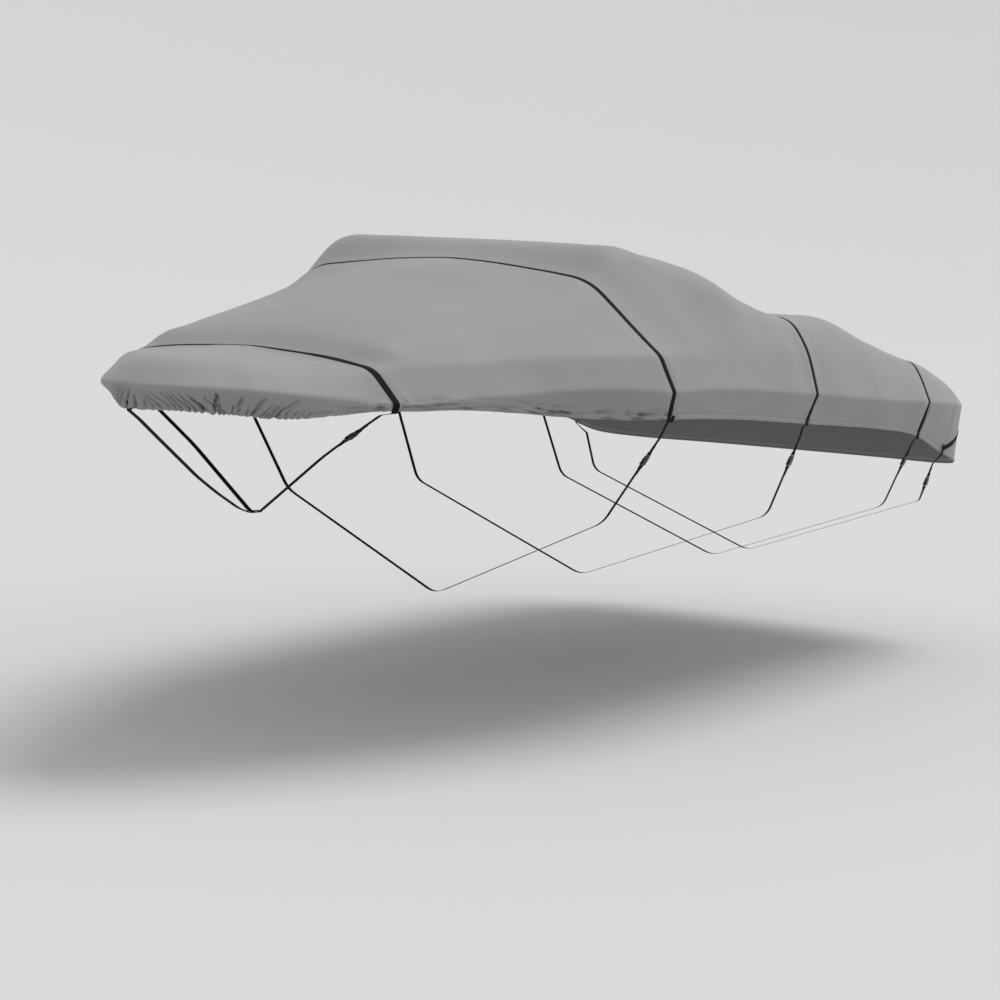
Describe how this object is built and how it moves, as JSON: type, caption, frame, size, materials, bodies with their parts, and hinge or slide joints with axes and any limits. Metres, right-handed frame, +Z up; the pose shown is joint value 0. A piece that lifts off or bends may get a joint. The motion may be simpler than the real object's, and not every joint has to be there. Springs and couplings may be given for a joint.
{
  "type": "boat cover",
  "caption": "Fitted, hollow boat cover in grey woven cloth with a gathered hem, black webbing straps over it and side-release buckles.",
  "frame": {"origin": "inside face of the cloth at the middle of the crown, where a support pole or windscreen carries it", "axes": "+X towards the stern, +Y towards starboard, +Z up"},
  "size_m": [6.0204, 2.4182, 1.6402],
  "materials": {
    "cloth": "plain-woven polyester with a soft satin sheen",
    "webbing": "woven polypropylene webbing, matt",
    "buckle": "moulded acetal, fine matt"
  },
  "bodies": {
    "root": {"cover": "cloth", "over_strap_bow": "webbing", "over_strap_crown": "webbing", "over_strap_cockpit": "webbing", "over_strap_aft": "webbing", "over_strap_stern": "webbing", "tie_upper_bow": "webbing", "tie_upper_crown": "webbing", "tie_upper_cockpit": "webbing", "tie_upper_aft": "webbing", "tie_upper_stern": "webbing", "tie_lower_bow": "webbing", "tie_lower_crown": "webbing", "tie_lower_cockpit": "webbing", "tie_lower_aft": "webbing", "tie_lower_stern": "webbing", "stem_strap": "webbing", "buckle_plug_bow": "buckle", "buckle_socket_bow": "buckle", "buckle_plug_crown": "buckle", "buckle_socket_crown": "buckle", "buckle_plug_cockpit": "buckle", "buckle_socket_cockpit": "buckle", "buckle_plug_aft": "buckle", "buckle_socket_aft": "buckle", "buckle_plug_stern": "buckle", "buckle_socket_stern": "buckle"}
  },
  "joints": []
}
